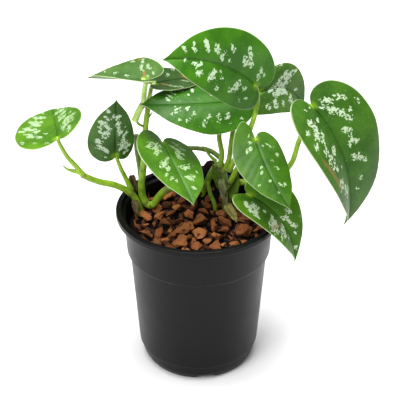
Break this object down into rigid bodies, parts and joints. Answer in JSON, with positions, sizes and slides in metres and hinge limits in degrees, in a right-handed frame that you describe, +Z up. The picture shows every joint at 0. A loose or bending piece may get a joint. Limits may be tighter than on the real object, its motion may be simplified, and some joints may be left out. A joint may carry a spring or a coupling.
{
  "type": "potted satin pothos plant",
  "caption": "Trailing satin pothos with heart-shaped silver-splashed leaves, rooted in bark mix in a round black nursery pot.",
  "frame": {"origin": "on the pot's axis, at the level the pot stands on", "axes": "+Z up along the pot's axis, -Y towards the front where most blades face, +X to the right, along the plant's widest spread"},
  "size_m": [0.2596, 0.12, 0.2644],
  "materials": {
    "pot": "satin black moulded plastic",
    "mix": "rough dark bark mix",
    "bark": "rough reddish-brown chips",
    "leaf_light": "satin yellow-green with silver splashes",
    "leaf": "satin green with silver splashes",
    "leaf_dark": "satin grey-green with silver splashes",
    "stem": "smooth yellow-green",
    "old_stem": "olive, slightly rough",
    "sheath": "dry pale grey-green",
    "dry": "dry papery"
  },
  "bodies": {
    "root": {"pot": "pot", "potting_mix": "mix", "bark_chip_01": "bark", "bark_chip_02": "bark", "bark_chip_03": "bark", "bark_chip_04": "bark", "bark_chip_05": "bark", "bark_chip_06": "bark", "bark_chip_07": "bark", "bark_chip_08": "bark", "bark_chip_09": "bark", "bark_chip_10": "bark", "bark_chip_11": "bark", "bark_chip_12": "bark", "bark_chip_13": "bark", "bark_chip_14": "bark", "bark_chip_15": "bark", "bark_chip_16": "bark", "bark_chip_17": "bark", "bark_chip_18": "bark", "bark_chip_19": "bark", "bark_chip_20": "bark", "leaf_far_left": "leaf_light", "leaf_left": "leaf_dark", "leaf_upper_left": "leaf", "leaf_front_left": "leaf", "leaf_top": "leaf", "leaf_middle": "leaf", "leaf_back_left": "leaf_dark", "leaf_back_right": "leaf_dark", "leaf_right": "leaf", "leaf_front_right": "leaf", "leaf_low_right": "leaf", "petiole_far_left": "stem", "petiole_left": "stem", "petiole_upper_left": "stem", "petiole_front_left": "stem", "petiole_top": "stem", "petiole_middle": "stem", "petiole_back_left": "stem", "petiole_back_right": "stem", "petiole_right": "stem", "petiole_front_right": "stem", "petiole_low_right": "stem", "stem_left_vine": "stem", "growing_tip": "stem", "stem_upright": "stem", "stem_runner": "stem", "stem_old": "old_stem", "stem_cut_stub": "stem", "crown_stem": "sheath", "stem_front_runner": "stem", "stem_side_root": "old_stem", "shoot_spike": "stem", "stem_back_runner": "old_stem", "sheath_pale": "sheath", "sheath_dry_left": "dry", "sheath_pointed_left": "old_stem", "leaf_dry_remains": "dry"}
  },
  "joints": []
}
